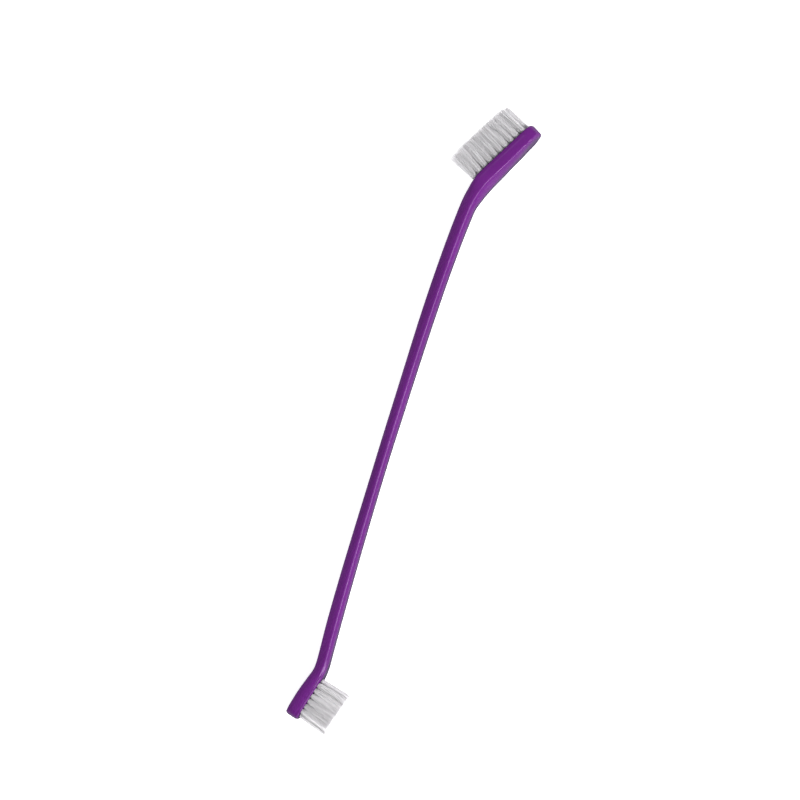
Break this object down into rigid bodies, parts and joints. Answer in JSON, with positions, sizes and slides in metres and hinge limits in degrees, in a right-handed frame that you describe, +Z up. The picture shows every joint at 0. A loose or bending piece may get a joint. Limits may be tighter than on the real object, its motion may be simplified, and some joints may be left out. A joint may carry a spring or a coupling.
{
  "type": "pet toothbrush",
  "caption": "Slim double-ended pet toothbrush: a bowed one-piece plastic handle with a large angled head at one end and a small head facing the other way at the other.",
  "frame": {"origin": "centre of the base of the bounding box of the whole brush lying on its side", "axes": "+X along the handle from the small head to the large head, +Y the side that the large head's bristles point to, +Z up, square to the brush's flat side and to its plane of symmetry"},
  "size_m": [0.2194, 0.04, 0.0086],
  "materials": {
    "handle": "glossy injection-moulded purple polypropylene, very slightly translucent at its edges",
    "bristle": "bundles of fine white nylon filaments",
    "anchor": "thin flat brass staple pressed across the bottom of each tuft hole"
  },
  "bodies": {
    "root": {"handle": "handle", "large_head_tuft_left_01": "bristle", "large_head_tuft_left_02": "bristle", "large_head_tuft_left_03": "bristle", "large_head_tuft_left_04": "bristle", "large_head_tuft_left_05": "bristle", "large_head_tuft_left_06": "bristle", "large_head_tuft_left_07": "bristle", "large_head_tuft_left_08": "bristle", "large_head_tuft_left_09": "bristle", "large_head_tuft_left_10": "bristle", "large_head_tuft_middle_01": "bristle", "large_head_tuft_middle_02": "bristle", "large_head_tuft_middle_03": "bristle", "large_head_tuft_middle_04": "bristle", "large_head_tuft_middle_05": "bristle", "large_head_tuft_middle_06": "bristle", "large_head_tuft_middle_07": "bristle", "large_head_tuft_middle_08": "bristle", "large_head_tuft_middle_09": "bristle", "large_head_tuft_middle_10": "bristle", "large_head_tuft_right_01": "bristle", "large_head_tuft_right_02": "bristle", "large_head_tuft_right_03": "bristle", "large_head_tuft_right_04": "bristle", "large_head_tuft_right_05": "bristle", "large_head_tuft_right_06": "bristle", "large_head_tuft_right_07": "bristle", "large_head_tuft_right_08": "bristle", "large_head_tuft_right_09": "bristle", "large_head_tuft_right_10": "bristle", "small_head_tuft_left_01": "bristle", "small_head_tuft_left_02": "bristle", "small_head_tuft_left_03": "bristle", "small_head_tuft_left_04": "bristle", "small_head_tuft_left_05": "bristle", "small_head_tuft_left_06": "bristle", "small_head_tuft_middle_01": "bristle", "small_head_tuft_middle_02": "bristle", "small_head_tuft_middle_03": "bristle", "small_head_tuft_middle_04": "bristle", "small_head_tuft_middle_05": "bristle", "small_head_tuft_middle_06": "bristle", "small_head_tuft_middle_07": "bristle", "small_head_tuft_right_01": "bristle", "small_head_tuft_right_02": "bristle", "small_head_tuft_right_03": "bristle", "small_head_tuft_right_04": "bristle", "small_head_tuft_right_05": "bristle", "small_head_tuft_right_06": "bristle"}
  },
  "joints": []
}
